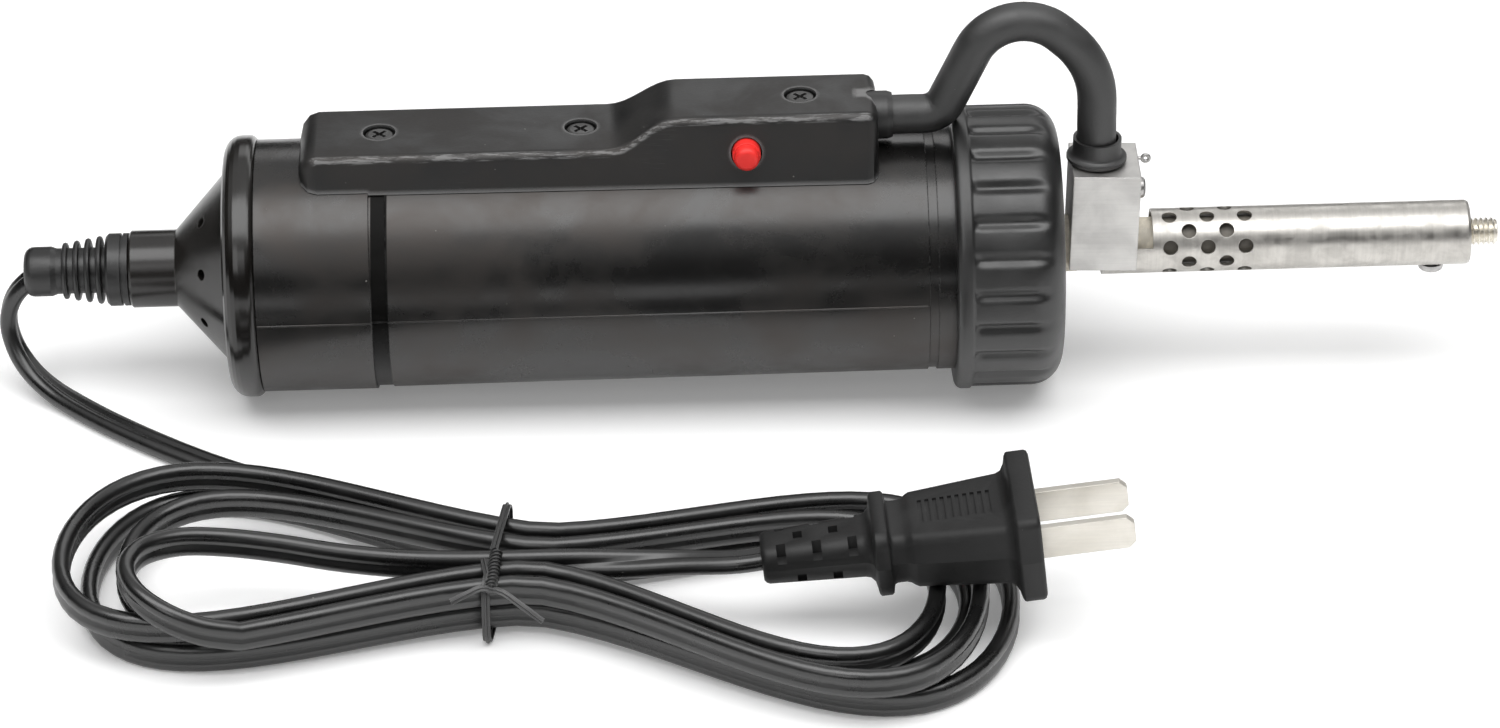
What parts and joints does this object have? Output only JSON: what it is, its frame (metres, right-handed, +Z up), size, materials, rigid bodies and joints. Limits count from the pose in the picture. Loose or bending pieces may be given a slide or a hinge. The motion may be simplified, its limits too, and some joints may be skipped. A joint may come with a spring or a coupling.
{
  "type": "electric desoldering iron",
  "caption": "Electric desoldering iron: black barrel with ribbed screw cap, raised handle with red button, perforated heater with bare nozzle stud, flat cord in a tied hank with blade plug.",
  "frame": {"origin": "on the table, below the middle of the tool without its cord", "axes": "+X from the cord boot to the nozzle stud, along the table; +Z up; the cord hank and plug lie on the -Y side"},
  "size_m": [0.2955, 0.1573, 0.0811],
  "materials": {
    "black_shell": "satin black moulded plastic, scuffed",
    "black_rubber": "dull black rubber",
    "screw_black": "blackened steel",
    "red_button": "glossy red plastic",
    "switch_plastic": "matt black plastic",
    "spring_steel": "bright spring wire",
    "bracket_steel": "bright stainless sheet",
    "screw_steel": "bright steel",
    "heater_nickel": "scratched nickel plate",
    "ceramic": "matt cream ceramic",
    "gasket": "dark fibre gasket",
    "felt": "pale felt",
    "pump_alloy": "turned alloy",
    "piston_alloy": "turned alloy",
    "seal": "red-brown silicone",
    "soft_iron": "turned soft iron",
    "bobbin": "pale heat-resistant plastic",
    "copper": "enamelled copper wire",
    "cord": "satin black cord jacket",
    "tie": "black coated wire",
    "plug": "satin black moulded plug",
    "blade": "nickel-plated brass"
  },
  "bodies": {
    "housing": {"barrel": "black_shell", "rear_cap": "black_shell", "strain_relief": "black_rubber", "handle_cover": "black_shell", "handle_screws": "screw_black", "button_spring": "spring_steel", "switch_body": "switch_plastic", "sleeve_collar": "black_shell", "wire_sleeve": "black_rubber", "pump_cylinder": "pump_alloy", "return_spring": "spring_steel", "coil_bobbin": "bobbin", "coil_winding": "copper", "solenoid_can": "soft_iron", "pole_piece": "soft_iron", "cord_lead": "cord", "cord_hank": "cord", "cord_tail": "cord", "cord_tie": "tie", "plug_body": "plug", "plug_blades": "blade"},
    "button": {"push_button": "red_button"},
    "pump": {"plunger": "soft_iron", "piston": "piston_alloy", "piston_seal": "seal"},
    "head": {"suction_pipe": "soft_iron", "gasket": "gasket", "filter_pad": "felt", "head_bracket": "bracket_steel", "clamp_screw": "screw_steel", "split_pin": "screw_steel", "heater_tube": "heater_nickel", "ceramic_tube": "ceramic", "ceramic_washer": "ceramic", "nozzle_stud": "heater_nickel", "set_screw": "screw_steel", "sleeve_foot": "black_rubber"},
    "cap": {"front_cap": "black_shell"}
  },
  "joints": [
    {"name": "button_press", "type": "slide", "parent": "housing", "child": "button", "axis": [0, 1, 0], "range_m": [0, 0.0022], "stiffness_N_per_m": 600, "springref_m": -0.0006, "deforming": ["button_spring"]},
    {"name": "pump_stroke", "type": "slide", "parent": "housing", "child": "pump", "axis": [-0.9999, 0, -0.0168], "range_m": [0, 0.012], "stiffness_N_per_m": 900, "springref_m": -0.004, "deforming": ["return_spring"]},
    {"name": "head_draw", "type": "slide", "parent": "housing", "child": "head", "axis": [0.9999, 0, 0.0168], "range_m": [0, 0.006], "deforming": ["wire_sleeve"]},
    {"name": "cap_turn", "type": "hinge", "parent": "head", "child": "cap", "pos_m": [0.05837, 0, 0.02843], "axis": [0.9999, 0, 0.0168], "range_deg": [0, 720]}
  ],
  "couplings": [
    {"joint": "cap_turn", "follows": "head_draw", "rad_per_m": 2094.4}
  ]
}
